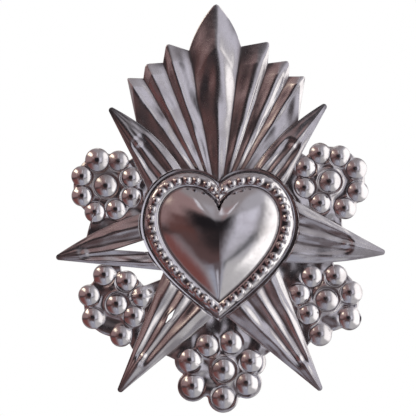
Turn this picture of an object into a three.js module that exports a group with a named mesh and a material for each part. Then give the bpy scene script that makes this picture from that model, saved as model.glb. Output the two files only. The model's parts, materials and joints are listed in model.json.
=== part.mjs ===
// A folk-art heart of pressed tin that hangs on a wall. A puffed heart with a beaded border stands in
// front of six folded rays, five flowers of punched domes and a pleated flame. Every sheet is soldered
// to a back plate, which carries a wire ring in a tin strap.
// Millimetres. +X is the viewer's right, +Z is up and the front faces -Y. The origin is on the rear
// face of the back plate, behind the middle of the heart. Depth is counted forwards from that face.
import * as THREE from 'three';

// Sheet metal
const SHEET = 0.4; // every pressed sheet
const PLATE = 0.5; // back plate
const SEAM = 0.3; // solder film between two sheets, and the gap beside a joint

// Heart, seen from the front
const DOME_WIDTH = 43.6;
const DOME_SIDE_Z = 8; // height of the widest place
const LOBE_X = 11.4; // from the middle to the top of a lobe
const LOBE_Z = 19.1;
const CLEFT_Z = 11.2;
const TIP_Z = -22.6;
const BORDER = 7; // from the dome's edge out to the flange's edge
const CLEFT_RISE = 9.4; // from the dome's cleft up to the flange's
const SIDE_DROP = 2; // from the dome's widest place down to the flange's
const FLANGE = 1.1; // width of the flange outside the beaded moulding
const DOME_GROOVE = 0.4; // from the dome's edge out to the moulding

// Heart, from back to front
const FLANGE_RISE = 0.45; // the flange's outer edge above the moulding's foot
const GROOVE_RISE = 1.6; // from the moulding's foot up to the groove round the dome
const MOULDING_RISE = 1; // the moulding between two beads above the groove
const MOULDING_TURNS = [60, 30]; // degrees from the crest at which its outer slope is faceted
const BEAD_RISE = 0.8; // beads above the moulding
const BEADS = 44;
const DOME_STEP = 0.4; // the dome's edge above the groove
const DOME_RISE = 7; // the dome's crown above the groove
const CROWN_Z = 4;
const DOME_ROUNDNESS = 0.2; // from a cushion with sloping sides at 0 to a round dome at 1
const DOME_RINGS = [0.93, 0.82, 0.62, 0.34]; // shares of the way from the crown to the dome's edge

// Rays: the tip's bearing from the heart's middle, the length beyond the skirt, the bearings at which
// the two edges meet the skirt, the share of the length at which the plain tip forks into three folds,
// and how far each edge bows outwards. Bearings run anticlockwise from +X, in degrees.
const RAYS = [
  { name: 'ray_upper_right', bearing: 51.8, length: 32.6, low: 40, high: 64, fork: 0.5, bow: [0, 2] },
  { name: 'ray_upper_left', bearing: 129.6, length: 32, low: 118, high: 145, fork: 0.42, bow: [2.4, 0] },
  { name: 'ray_left', bearing: 186.1, length: 33.4, low: 161, high: 208, fork: 0.22, bow: [1.4, 0] },
  { name: 'ray_lower_left', bearing: 236.6, length: 43.6, low: 210, high: 266, fork: 0.26, bow: [0, 0] },
  { name: 'ray_lower_right', bearing: 304.2, length: 43.6, low: 275, high: 335, fork: 0.22, bow: [0, 0] },
  { name: 'ray_right', bearing: 355.8, length: 34, low: 341, high: 389, fork: 0.34, bow: [1.4, 0] },
];
const RAY_TIP_WIDTH = 2.2;
const RAY_SLOPE = 24; // degrees from the edge up to the outer ridge
const RIDGE_ACROSS = 0.18; // outer ridge, as a share of the way across
const VALLEY_ACROSS = 0.36; // valley between the outer and the middle ridge, likewise
const VALLEY_RISE = 0.35; // height of that valley as a share of the ridge's
const TIP_RISE = 1.8; // height of the plain tip's one ridge as a share of the outer ridge's
const FORK_LENGTH = 0.1; // share of the length in which the tip turns into the folds
const RAY_END = 1.4; // length in which the folds close down at the skirt

// Slits in the middle ridge of two rays: the width, and the shares of the ray's length at which the slit
// starts and is widest. One opens to the skirt, the other is a short gape.
const SLITS = {
  ray_left: { width: 4.4, from: 0.65, widest: 1 },
  ray_lower_left: { width: 1.5, from: 0.7, widest: 0.77 },
};

// Flowers, in the gaps between the rays from the upper left round to the upper right: the free width
// from the domes to the ray before and the ray after, the part of each of those rays' edges that the
// sheet runs under, as lengths from the skirt, the flat metal outside the domes, the sheet's radius
// between two petals, the bearing at which the tab goes under the heart and the tab's width, the radius
// of the middle dome and of the others, and the bearing and distance of each of those from the middle,
// with its own radius where it differs.
const FLOWERS = [
  {
    name: 'flower_upper_left',
    before: 0.2,
    after: 1.9,
    underBefore: [0, 14],
    underAfter: [0, 23],
    edge: 0.4,
    core: 11.8,
    tab: { bearing: 153, width: 11 },
    middle: 4.1,
    radius: 3.5,
    domes: [[108, 9.9, 4.1], [63, 10.2], [18, 9.8], [337, 10.2], [293, 9.4], [248, 10.4], [203, 9.4], [158, 9.4]],
  },
  {
    name: 'flower_lower_left',
    before: 0.1,
    after: 0.6,
    underBefore: [15, 20],
    underAfter: [9, 31.5],
    edge: 0.5,
    core: 12,
    tab: { bearing: 222, width: 5 },
    middle: 3.8,
    radius: 3.6,
    domes: [[113, 11.7], [67, 9.1], [18, 9.5], [325, 7.6], [278, 11.7], [210, 10], [162, 10.5]],
  },
  {
    name: 'flower_bottom',
    before: 3,
    after: 2.8,
    underBefore: [0, 23],
    underAfter: [0, 22],
    edge: 1.8,
    core: 11.7,
    tab: { bearing: 271, width: 12 },
    middle: 4.1,
    radius: 3.8,
    domes: [[123, 10.6], [75, 10.3], [17, 10.5], [330, 9.8], [269, 10.1], [208, 12.8], [164, 12.9]],
  },
  {
    name: 'flower_lower_right',
    before: 0.3,
    after: 2.7,
    underBefore: [0, 31.5],
    underAfter: [0, 19],
    edge: 0.8,
    core: 11.8,
    tab: { bearing: 340, width: 14 },
    middle: 4.1,
    radius: 3.6,
    domes: [[124, 9.9], [69, 9.1], [16, 9.1], [320, 10.8], [259, 13], [219, 8.4], [169, 10.2]],
  },
  {
    name: 'flower_upper_right',
    before: 0.2,
    after: 0.3,
    underBefore: [0, 22],
    underAfter: [0, 14],
    edge: 0.6,
    core: 12.8,
    tab: { bearing: 34, width: 12 },
    middle: 4,
    radius: 3.5,
    domes: [[110, 10.8], [69, 9.8], [26, 10.6], [340, 10.7], [300, 11.3], [247, 8.6], [194, 9.4], [150, 10.2]],
  },
];
const DOME_BULGE = 0.55; // height of a dome as a share of its radius
const DOME_WAIST = [0.66, 0.5]; // shares of a dome's radius and height at its middle ring
const LAP = 0.7; // how far a flower or the flame runs under the edge of a ray

// Flame: lean from upright, in degrees to the right, and reach from the dome's cleft, which all folds
// run towards, for the ridges and the notches between them in turn, from left to right.
const FLAME_FOLDS = [
  [-35.3, 59.2], [-30, 55.6],
  [-26.8, 59.9], [-20.9, 57.7],
  [-17.6, 64], [-10.7, 59.4],
  [-0.8, 74.7], [7.7, 60.4],
  [16.8, 64.5], [18.5, 56.6],
  [25.3, 60.5], [27.7, 55.2],
  [33.3, 58.5],
];
const SPEAR_RISE = 3.4; // the middle ridge above the valleys
const SPEAR_BULGE = 1.2; // how far the spear's sides curve out
const PLEAT_RISE = 2; // the other ridges above the valleys
const RIDGE_TIP = 0.4; // share of its rise that a ridge keeps at its tip
const FLAME_ROOT = 2; // length in which the pleats close down under the heart
const FLAME_HEM = 23.5; // length of the neighbouring ray's edge that the flame runs under
const FLAME_TAB_WIDTH = 6;

// Back plate and hanger
const PLATE_INSET = 2.5; // from the flange's edge in to the plate's edge
const TONGUE_WIDTH = 16;
const TONGUE_TOP = 48; // height of the tongue's top edge
const STRAP_MARGIN = 2; // from the tongue's top edge down to the strap's solder
const STRAP_WIDTH = 5;
const STRAP_FOOT = 5; // length of the foot above the knuckle
const STRAP_LIP = 1.2; // length of the lip below the knuckle
const WIRE = 1.2;
const RING_WIDTH = 11; // between the centres of the ring's two sides
const RING_HEIGHT = 13; // from the axis to the centre of the bow
const RING_CORNER = 1.8;
const RING_GAP = 0.4; // between the two ends of the bent wire, inside the strap
const RING_PLAY = 0.25; // clearance round the wire in the strap

// Solder
const SOLDER_RADIUS = 1.7;
const SOLDER_RISE = 1.1;
const SOLDER_PROFILE = [[0, 0], [1, 0], [0.8, 0.65], [0.4, 0.95], [0, 1]]; // shares of radius and rise

// Facets
const DOME_SIDES = 10;
const PETAL_POINTS = 180;
const KNUCKLE_STEPS = 6;
const WIRE_STEPS = 44;
const WIRE_SIDES = 8;
const SOLDER_SIDES = 10;

// Depths of the stacked sheets' front and back faces
const flowerBack = PLATE + SEAM;
const flowerFront = flowerBack + SHEET;
const rayBack = flowerFront + SEAM;
const rayFront = rayBack + SHEET;
const heartFront = rayFront + SEAM + SHEET;
const grooveFront = heartFront + GROOVE_RISE;

// Length of the flat tabs under the heart, which end over the plate and leave room for the solder
const tab = PLATE_INSET + SEAM + 2 * SOLDER_RADIUS;

const degrees = THREE.MathUtils.radToDeg;
const radians = THREE.MathUtils.degToRad;
const mix = THREE.MathUtils.lerp;
const polar = (bearing, distance) =>
  new THREE.Vector2(Math.cos(radians(bearing)), Math.sin(radians(bearing))).multiplyScalar(distance);
const bearingOf = (place) => degrees(place.angle());
const front = (place, depth) => new THREE.Vector3(place.x, -depth, place.y);

// Triangles between two lines with as many points each. A closed band joins its end to its start.
function band(first, second, closed = false) {
  const triangles = [];
  const last = closed ? first.length : first.length - 1;
  for (let i = 0; i < last; i += 1) {
    const j = (i + 1) % first.length;
    triangles.push([first[i], first[j], second[j]], [first[i], second[j], second[i]]);
  }
  return triangles;
}

function fan(middle, ring) {
  return ring.map((point, i) => [middle, point, ring[(i + 1) % ring.length]]);
}

// A flat piece of sheet at one depth, with holes.
function flat(outline, holes, depth) {
  const points = [outline, ...holes].flat();
  return THREE.ShapeUtils.triangulateShape(outline, holes).map((corners) =>
    corners.map((corner) => front(points[corner], depth)));
}

// Twice a triangle's area as seen from the front, positive when its corners run anticlockwise.
function facing([a, b, c]) {
  return (b.x - a.x) * (c.z - a.z) - (c.x - a.x) * (b.z - a.z);
}

// Gives the front triangles of a sheet their back and their cut edge.
function pressed(triangles, thickness) {
  const behind = (point) => new THREE.Vector3(point.x, point.y + thickness, point.z);
  const key = (point) => `${point.x.toFixed(4)} ${point.z.toFixed(4)}`;
  const soup = [];
  const cut = new Map();
  for (const triangle of triangles) {
    const area = facing(triangle);
    if (Math.abs(area) < 1e-6) continue;
    const [a, b, c] = area > 0 ? triangle : [...triangle].reverse();
    soup.push(a, b, c, behind(c), behind(b), behind(a));
    for (const [from, to] of [[a, b], [b, c], [c, a]]) {
      const met = cut.delete(`${key(to)} ${key(from)}`);
      if (!met) cut.set(`${key(from)} ${key(to)}`, [from, to]);
    }
  }
  for (const [from, to] of cut.values()) {
    soup.push(from, behind(from), to, to, behind(from), behind(to));
  }
  return new THREE.BufferGeometry().setFromPoints(soup);
}

// The heart's outline, grown outwards from the dome's edge, from the cleft round by the right. Each
// curve's handles are shares of its own width and height.
function heartOutline(grow, count) {
  const share = grow / BORDER;
  const side = DOME_WIDTH / 2 + grow;
  const sideZ = DOME_SIDE_Z - share * SIDE_DROP;
  const lobe = LOBE_Z + grow;
  const cleft = CLEFT_Z + share * CLEFT_RISE;
  const tip = TIP_Z - grow;
  const half = new THREE.Path()
    .moveTo(0, cleft)
    .bezierCurveTo(LOBE_X * 0.12, mix(cleft, lobe, 0.62), LOBE_X * 0.5, lobe, LOBE_X, lobe)
    .bezierCurveTo(mix(LOBE_X, side, 0.58), lobe, side, mix(sideZ, lobe, 0.55), side, sideZ)
    .bezierCurveTo(side, mix(sideZ, tip, 0.42), side * 0.3, mix(sideZ, tip, 0.8), 0, tip)
    .getSpacedPoints(count / 2);
  const mirrored = half.slice(1, -1).reverse().map((point) => new THREE.Vector2(-point.x, point.y));
  return [...half, ...mirrored];
}

const skirt = heartOutline(BORDER, 2 * BEADS);
const cleftPlace = skirt[0];

// How far a line of places is from an origin in a direction, or 0 where that direction misses it.
function distanceTo(line, origin, direction) {
  for (let i = 0; i + 1 < line.length; i += 1) {
    const start = line[i].clone().sub(origin);
    const edge = line[i + 1].clone().sub(line[i]);
    const turn = direction.cross(edge);
    const along = start.cross(direction) / turn;
    const distance = start.cross(edge) / turn;
    const crosses = along > -1e-9 && along < 1 + 1e-9;
    if (crosses && distance > 0) return distance;
  }
  return 0;
}

// The place on a closed outline at a bearing from the origin.
function placeOn(outline, bearing) {
  return polar(bearing, distanceTo([...outline, outline[0]], new THREE.Vector2(), polar(bearing, 1)));
}

function heart() {
  const count = 2 * BEADS;
  const ring = (grow, depth) => heartOutline(grow, count).map((place) => front(place, depth));
  const outer = BORDER - FLANGE;
  const middle = (outer + DOME_GROOVE) / 2;
  const crest = grooveFront + MOULDING_RISE;
  const slope = MOULDING_TURNS.map((turn) => {
    const { x, y } = polar(turn, 1);
    return ring(mix(middle, outer, y), mix(heartFront, crest, x));
  });
  const beadRow = heartOutline(middle, count).map((place, i) =>
    front(place, i % 2 ? crest : crest + BEAD_RISE));
  const rings = [
    ring(BORDER, heartFront + FLANGE_RISE),
    ring(outer, heartFront),
    ...slope,
    beadRow,
    ring(DOME_GROOVE, grooveFront),
    ring(0, grooveFront + DOME_STEP),
  ];
  const dome = heartOutline(0, count);
  const crown = new THREE.Vector2(0, CROWN_Z);
  for (const share of DOME_RINGS) {
    const cushion = 1 - share * share;
    const swell = mix(cushion, Math.sqrt(cushion), DOME_ROUNDNESS);
    const depth = grooveFront + mix(DOME_STEP, DOME_RISE, swell);
    rings.push(dome.map((place) => front(crown.clone().lerp(place, share), depth)));
  }
  const bands = rings.slice(1).flatMap((inner, i) => band(rings[i], inner, true));
  return pressed([...bands, ...fan(front(crown, grooveFront + DOME_RISE), rings.at(-1))], SHEET);
}

// A fold line of a ray in plan: from beside the tip to a share of the way across the root.
function rayLine(ray, across) {
  const tip = polar(ray.bearing, placeOn(skirt, ray.bearing).length() + ray.length);
  const beside = polar(ray.bearing + 90, (across - 0.5) * RAY_TIP_WIDTH);
  const foot = placeOn(skirt, mix(ray.low, ray.high, across));
  return { start: tip.add(beside), foot };
}

// How far a fold line of a ray bows anticlockwise at a share of its length.
function bowAside(ray, across, share) {
  const reach = ray.bow[across < 0.5 ? 0 : 1];
  return (2 * across - 1) * reach * 4 * share * (1 - share);
}

// How wide a ray's slit is at a share of its length.
function slitWidth(ray, share) {
  const slit = SLITS[ray.name];
  if (!slit) return 0;
  return slit.width * Math.max(0, 1 - Math.abs(share - slit.widest) / (slit.widest - slit.from));
}

// The shares of a ray's length at the tip, the fork, the slit, the shoulder and the foot.
function rayStations(ray) {
  const slit = SLITS[ray.name];
  const shares = [0, ray.fork, ray.fork + FORK_LENGTH, 1 - RAY_END / ray.length, 1];
  if (slit) shares.push(slit.from, slit.widest, 2 * slit.widest - slit.from);
  return [...new Set(shares)].filter((share) => share <= 1).sort((a, b) => a - b);
}

// The place on a fold line that lies some way under the heart.
function rayUnder({ start, foot }, length) {
  return foot.clone().sub(start).setLength(length).add(foot);
}

// A ray's fold lines from the low edge to the high one. The middle ridge has two, the slit's lips.
function rayFolds(ray) {
  const width = placeOn(skirt, ray.low).distanceTo(placeOn(skirt, ray.high));
  const ridge = RIDGE_ACROSS * width * Math.tan(radians(RAY_SLOPE));
  const valley = ridge * VALLEY_RISE;
  const fold = (across, height, side = 0) => {
    const { start, foot } = rayLine(ray, across);
    const aside = (share) =>
      polar(ray.bearing + 90, bowAside(ray, across, share) + (side * slitWidth(ray, share)) / 2);
    const tipHeight = ridge * TIP_RISE * (1 - Math.abs(1 - 2 * across));
    const points = rayStations(ray).map((share) => {
      const rise = share > ray.fork ? height * share : tipHeight * share;
      const place = start.clone().lerp(foot, share).add(aside(share));
      return front(place, rayFront + (share < 1 ? rise : 0));
    });
    return { line: { start, foot: foot.add(aside(1)) }, points };
  };
  return [
    fold(0, 0),
    fold(RIDGE_ACROSS, ridge),
    fold(VALLEY_ACROSS, valley),
    fold(0.5, ridge, -1),
    fold(0.5, ridge, 1),
    fold(1 - VALLEY_ACROSS, valley),
    fold(1 - RIDGE_ACROSS, ridge),
    fold(1, 0),
  ];
}

function rayGeometry(ray) {
  const folds = rayFolds(ray);
  const strips = [0, 1, 2, 4, 5, 6].flatMap((i) => band(folds[i].points, folds[i + 1].points));
  const tabLine = (fold) => [fold.points.at(-1), front(rayUnder(fold.line, tab), rayFront)];
  const tabs = [1, 2, 4, 5].flatMap((i) => band(tabLine(folds[i]), tabLine(folds[i + 1])));
  return pressed([...strips, ...tabs], SHEET);
}

// The middle of a ray's second tab, over the plate.
function raySolderPlace(ray) {
  return rayUnder(rayLine(ray, 1 - VALLEY_ACROSS), tab - SOLDER_RADIUS);
}

// An edge of a ray, low (0) or high (1), with its direction inwards, the direction clear of the ray and
// how far it bows that way.
function rayEdge(ray, across) {
  const { start, foot } = rayLine(ray, across);
  const inwards = foot.clone().sub(start).normalize();
  const clear = new THREE.Vector2(inwards.y, -inwards.x).multiplyScalar(across ? 1 : -1);
  const bow = (share) => Math.abs(bowAside(ray, across, share));
  return { start, foot, inwards, clear, bow };
}

// A flower's domes, the middle one first, with their places from the flower's middle.
function flowerDomes(flower) {
  const ring = flower.domes.map(([bearing, distance, radius = flower.radius]) =>
    ({ place: polar(bearing, distance), radius }));
  return [{ place: new THREE.Vector2(), radius: flower.middle }, ...ring];
}

// A flower's middle: as close to the rays on its two sides as its domes and the free widths allow, and
// further out where a dome would meet the heart.
function flowerMiddle(flower, before, after) {
  const domes = flowerDomes(flower);
  const reach = (edge, free) => {
    const needed = domes.map((dome) => dome.radius - edge.clear.dot(dome.place));
    return Math.max(...needed) + free + edge.clear.dot(edge.start);
  };
  const first = reach(before, flower.before);
  const second = reach(after, flower.after);
  const turn = before.clear.cross(after.clear);
  const middle = new THREE.Vector2(
    (first * after.clear.y - second * before.clear.y) / turn,
    (second * before.clear.x - first * after.clear.x) / turn,
  );
  const lack = domes.map(({ place, radius }) => {
    const centre = place.add(middle);
    return placeOn(skirt, bearingOf(centre)).length() + radius + SEAM - centre.length();
  });
  return middle.setLength(middle.length() + Math.max(0, ...lack));
}

// The place on a ray's edge at a length from the skirt, as far under the ray as a sheet laps.
function underRay(edge, length) {
  const aside = edge.bow(1 - length / edge.start.distanceTo(edge.foot)) - LAP;
  return edge.foot.clone().addScaledVector(edge.inwards, -length).addScaledVector(edge.clear, aside);
}

// How far a flower's sheet reaches in a direction: to the line that it follows under the rays, round
// its domes, and into its tab, which lies at an angle from that direction.
function flowerReach(flower, domes, underline, direction, angle, tabLength) {
  let reach = Math.max(flower.core, underline);
  for (const { place, radius } of domes) {
    const petal = radius + flower.edge;
    const along = direction.dot(place);
    const across = direction.cross(place);
    if (along > 0 && Math.abs(across) < petal) {
      reach = Math.max(reach, along + Math.sqrt(petal * petal - across * across));
    }
  }
  const ahead = Math.cos(angle);
  if (ahead > 0) {
    const side = flower.tab.width / 2 / Math.max(Math.abs(Math.sin(angle)), 1e-6);
    reach = Math.max(reach, Math.min(side, tabLength / ahead));
  }
  return reach;
}

function flowerGeometry(flower, middle, before, after) {
  const domes = flowerDomes(flower);
  const [beforeStart, beforeEnd] = flower.underBefore;
  const [afterStart, afterEnd] = flower.underAfter;
  const first = [underRay(before, beforeEnd), underRay(before, beforeStart)];
  const second = [underRay(after, afterStart), underRay(after, afterEnd)];
  const meets = beforeStart === 0 && afterStart === 0;
  const lines = meets ? [[...first, ...second]] : [first, second];
  const inwards = placeOn(skirt, flower.tab.bearing).sub(middle);
  const tabLength = inwards.length() + tab;
  const outline = Array.from({ length: PETAL_POINTS }, (_, i) => {
    const turn = (360 * i) / PETAL_POINTS;
    const direction = polar(bearingOf(inwards) + turn, 1);
    const underline = Math.max(...lines.map((line) => distanceTo(line, middle, direction)));
    const reach = flowerReach(flower, domes, underline, direction, radians(turn), tabLength);
    return direction.multiplyScalar(reach).add(middle);
  });
  const [waistRadius, waistHeight] = DOME_WAIST;
  const holes = [];
  const caps = [];
  for (const { place, radius } of domes) {
    const centre = place.add(middle);
    const height = radius * DOME_BULGE;
    const circle = (share) =>
      Array.from({ length: DOME_SIDES }, (_, i) => polar((360 * i) / DOME_SIDES, radius * share).add(centre));
    const foot = circle(1);
    const rim = foot.map((point) => front(point, flowerFront));
    const waist = circle(waistRadius).map((point) => front(point, flowerFront + height * waistHeight));
    holes.push(foot);
    caps.push(...band(rim, waist, true), ...fan(front(centre, flowerFront + height), waist));
  }
  return pressed([...flat(outline, holes, flowerFront), ...caps], SHEET);
}

const flameFocus = new THREE.Vector2(0, CLEFT_Z);

// The place on a fold of the flame at a distance from the dome's cleft.
function flamePlace(index, distance) {
  const [lean] = FLAME_FOLDS[index];
  return polar(90 - lean, distance).add(flameFocus);
}

// How far from the dome's cleft a fold goes under the heart.
function flameFoot(index) {
  const [lean] = FLAME_FOLDS[index];
  return distanceTo([...skirt, skirt[0]], flameFocus, polar(90 - lean, 1));
}

const spear = (FLAME_FOLDS.length - 1) / 2;

// A ridge of the flame: its tip, half way down to its shoulder, the shoulder, half way to the heart, the
// heart and the root under it. From the shoulder on it sinks as the pleats get narrower.
function flameRidge(index) {
  const [, reach] = FLAME_FOLDS[index];
  const notches = [FLAME_FOLDS[index - 1], FLAME_FOLDS[index + 1]].filter(Boolean);
  const shoulder = Math.min(...notches.map((notch) => notch[1]));
  const foot = flameFoot(index);
  const half = (shoulder + foot) / 2;
  const rise = index === spear ? SPEAR_RISE : PLEAT_RISE;
  const point = (distance, share) => front(flamePlace(index, distance), flowerFront + rise * share);
  return [
    point(reach, RIDGE_TIP),
    point((reach + shoulder) / 2, (1 + RIDGE_TIP) / 2),
    point(shoulder, 1),
    point(half, half / shoulder),
    point(foot, foot / shoulder),
    point(foot - FLAME_ROOT, 0),
  ];
}

// The far side of a ridge's face, from the tip down the sloping rim to the notch and along the valley.
function flameValley(ridge, notch) {
  const tip = flamePlace(ridge, FLAME_FOLDS[ridge][1]);
  const end = flamePlace(notch, FLAME_FOLDS[notch][1]);
  const along = end.clone().sub(tip);
  const outwards = new THREE.Vector2(-along.y, along.x).multiplyScalar(notch - ridge);
  const bulge = outwards.setLength(ridge === spear ? SPEAR_BULGE : 0);
  const rise = ridge === spear ? SPEAR_RISE : PLEAT_RISE;
  const foot = flameFoot(notch);
  return [
    front(tip, flowerFront + rise * RIDGE_TIP),
    front(tip.clone().lerp(end, 0.5).add(bulge), flowerFront + rise * RIDGE_TIP / 2),
    front(end, flowerFront),
    front(flamePlace(notch, (FLAME_FOLDS[notch][1] + foot) / 2), flowerFront),
    front(flamePlace(notch, foot), flowerFront),
    front(flamePlace(notch, foot - FLAME_ROOT), flowerFront),
  ];
}

// The flame's outer edge: from the last ridge's tip to the neighbouring ray, and under it to the heart.
function flameHem(index, edge) {
  const tip = flameRidge(index)[0];
  const [meeting, half, foot] = [FLAME_HEM, FLAME_HEM / 2, 0].map((length) => underRay(edge, length));
  const root = foot.clone().addScaledVector(edge.inwards, FLAME_ROOT);
  const line = [meeting, half, foot, root].map((place) => front(place, flowerFront));
  return [tip, tip.clone().lerp(line[0], 0.5), ...line];
}

function flame(leftEdge, rightEdge) {
  const last = FLAME_FOLDS.length - 1;
  const leftHem = flameHem(0, leftEdge);
  const rightHem = flameHem(last, rightEdge);
  const triangles = [...band(flameRidge(0), leftHem), ...band(flameRidge(last), rightHem)];
  for (let notch = 1; notch < last; notch += 2) {
    for (const ridge of [notch - 1, notch + 1]) {
      triangles.push(...band(flameRidge(ridge), flameValley(ridge, notch)));
    }
  }
  const roots = FLAME_FOLDS.map((_, index) => flamePlace(index, flameFoot(index) - FLAME_ROOT));
  const hemRoots = [leftHem, rightHem].map((hem) => new THREE.Vector2(hem.at(-1).x, hem.at(-1).z));
  const half = FLAME_TAB_WIDTH / 2;
  const end = cleftPlace.y - tab;
  const tabEnd = [new THREE.Vector2(half, end), new THREE.Vector2(-half, end)];
  const tabOutline = [hemRoots[0], ...roots, hemRoots[1], ...tabEnd];
  return pressed([...triangles, ...flat(tabOutline, [], flowerFront)], SHEET);
}

// The back plate follows the heart, with a tongue up behind the flame.
const plateHeart = heartOutline(BORDER - PLATE_INSET, BEADS);

function backPlate() {
  const half = TONGUE_WIDTH / 2;
  const body = plateHeart.filter((place) => place.y < 0 || Math.abs(place.x) > half);
  const tongue = [new THREE.Vector2(-half, TONGUE_TOP), new THREE.Vector2(half, TONGUE_TOP)];
  return pressed(flat([...body, ...tongue], [], PLATE), PLATE);
}

const knuckle = WIRE / 2 + RING_PLAY + SHEET;
const strapTop = TONGUE_TOP - STRAP_MARGIN - 2 * SOLDER_RADIUS - SEAM;
const ringAxisY = SEAM + WIRE / 2;
const ringAxisZ = strapTop - STRAP_FOOT - knuckle;

// The strap in section: a foot, a knuckle round the wire and a short lip, with height to the right.
function hangerStrap() {
  const bore = knuckle - SHEET;
  const top = SEAM + SHEET;
  const section = new THREE.Shape()
    .moveTo(knuckle + STRAP_FOOT, SEAM)
    .lineTo(knuckle + STRAP_FOOT, top)
    .lineTo(knuckle, top)
    .absarc(0, ringAxisY, knuckle, 0, Math.PI, false)
    .lineTo(-knuckle, top)
    .lineTo(-knuckle - STRAP_LIP, top)
    .lineTo(-knuckle - STRAP_LIP, SEAM)
    .lineTo(-bore, SEAM)
    .absarc(0, ringAxisY, bore, Math.PI, 0, true)
    .lineTo(bore, SEAM);
  const options = { depth: STRAP_WIDTH, curveSegments: KNUCKLE_STEPS, bevelEnabled: false };
  return new THREE.ExtrudeGeometry(section, options);
}

// The ring hangs down from its straight leg, where the wire's two ends meet.
function hangerRing() {
  const side = RING_WIDTH / 2;
  const route = new THREE.Path()
    .moveTo(RING_GAP / 2, 0)
    .absarc(side - RING_CORNER, -RING_CORNER, RING_CORNER, Math.PI / 2, 0, true)
    .absarc(0, side - RING_HEIGHT, side, 0, Math.PI, true)
    .absarc(RING_CORNER - side, -RING_CORNER, RING_CORNER, Math.PI, Math.PI / 2, true)
    .lineTo(-RING_GAP / 2, 0)
    .getSpacedPoints(WIRE_STEPS)
    .map((point) => new THREE.Vector3(point.x, 0, point.y));
  const section = new THREE.Shape().absarc(0, 0, WIRE / 2, 0, 2 * Math.PI, false);
  return new THREE.ExtrudeGeometry(section, {
    extrudePath: new THREE.CatmullRomCurve3(route),
    steps: WIRE_STEPS,
    curveSegments: WIRE_SIDES / 2,
    bevelEnabled: false,
  });
}

// A drop of solder that swells backwards from a flat face.
function solderDrop(rise) {
  const profile = SOLDER_PROFILE.map(([out, up]) => new THREE.Vector2(out * SOLDER_RADIUS, up * rise));
  return new THREE.LatheGeometry(profile, SOLDER_SIDES);
}

const metal = (color, roughness) => new THREE.MeshStandardMaterial({ color, roughness, metalness: 1 });
const polishedTin = metal(0xb9b4b4, 0.18);
const foldedTin = metal(0xa9a3a3, 0.26);
const plainTin = metal(0x8f8a88, 0.42);
const solder = metal(0x77757a, 0.55);
const wire = metal(0x8a8178, 0.35);

const group = new THREE.Group();
const put = (name, geometry, material, x = 0, y = 0, z = 0) => {
  const mesh = new THREE.Mesh(geometry, material);
  mesh.name = name;
  mesh.position.set(x, y, z);
  group.add(mesh);
  return mesh;
};

put('heart_front', heart(), polishedTin);
put('back_plate', backPlate(), plainTin);
put('flame_crown', flame(rayEdge(RAYS[1], 0), rayEdge(RAYS[0], 1)), foldedTin);

for (const ray of RAYS) {
  put(ray.name, rayGeometry(ray), foldedTin);
  const place = raySolderPlace(ray);
  const drop = solderDrop(rayBack - PLATE - 2 * SEAM);
  put(ray.name.replace('ray', 'solder_ray'), drop, solder, place.x, SEAM - rayBack, place.y);
}

FLOWERS.forEach((flower, i) => {
  const before = rayEdge(RAYS[i + 1], 1);
  const after = rayEdge(RAYS[(i + 2) % RAYS.length], 0);
  const middle = flowerMiddle(flower, before, after);
  put(flower.name, flowerGeometry(flower, middle, before, after), foldedTin);
  const edge = placeOn(plateHeart, flower.tab.bearing);
  const place = edge.setLength(edge.length() + SOLDER_RADIUS + SEAM);
  const name = flower.name.replace('flower', 'solder_flower');
  put(name, solderDrop(SOLDER_RISE), solder, place.x, SEAM - flowerBack, place.y);
});

for (const [name, notch] of [['solder_flame_left', spear - 1], ['solder_flame_right', spear + 1]]) {
  const [lean] = FLAME_FOLDS[notch];
  const z = TONGUE_TOP + SEAM + SOLDER_RADIUS;
  const x = (z - flameFocus.y) * Math.tan(radians(lean));
  put(name, solderDrop(SOLDER_RISE), solder, x, SEAM - flowerBack, z);
}

const strap = put('hanger_strap', hangerStrap(), plainTin, STRAP_WIDTH / 2, 0, ringAxisZ);
strap.rotation.y = -Math.PI / 2;
put('hanger_ring', hangerRing(), wire, 0, ringAxisY, ringAxisZ);
put('solder_strap', solderDrop(SOLDER_RISE), solder, 0, SEAM, strapTop + SEAM + SOLDER_RADIUS);

export default group;
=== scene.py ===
"""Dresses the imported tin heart: finely pressed sheets, solder, wire, metal finishes and the stage."""

import bisect
import json
import math

import bpy
import numpy
from bpy.props import FloatProperty, FloatVectorProperty, IntProperty, PointerProperty
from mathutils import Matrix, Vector, geometry, kdtree, noise


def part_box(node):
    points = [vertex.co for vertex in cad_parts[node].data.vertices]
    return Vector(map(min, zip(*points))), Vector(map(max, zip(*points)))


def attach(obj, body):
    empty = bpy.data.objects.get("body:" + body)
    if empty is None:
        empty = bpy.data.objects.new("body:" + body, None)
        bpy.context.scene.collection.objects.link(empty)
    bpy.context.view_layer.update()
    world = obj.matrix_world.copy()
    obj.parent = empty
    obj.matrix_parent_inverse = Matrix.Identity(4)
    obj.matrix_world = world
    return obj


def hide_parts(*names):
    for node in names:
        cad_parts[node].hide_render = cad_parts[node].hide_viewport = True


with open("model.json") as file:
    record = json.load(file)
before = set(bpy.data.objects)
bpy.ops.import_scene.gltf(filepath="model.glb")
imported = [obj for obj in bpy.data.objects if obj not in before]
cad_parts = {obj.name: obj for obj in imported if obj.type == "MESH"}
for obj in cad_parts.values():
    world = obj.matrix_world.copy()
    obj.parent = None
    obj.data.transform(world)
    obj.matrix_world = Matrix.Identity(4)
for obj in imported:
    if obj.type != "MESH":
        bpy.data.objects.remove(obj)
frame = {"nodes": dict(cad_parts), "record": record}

bl_info = {
    "name": "Pressed Tin Heart",
    "version": (1, 0, 0),
    "blender": (4, 5, 0),
    "location": "3D View > Sidebar > Tin Heart",
    "description": "Models the pressed sheets of a folk-art tin heart and lights them",
    "category": "Object",
}

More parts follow.
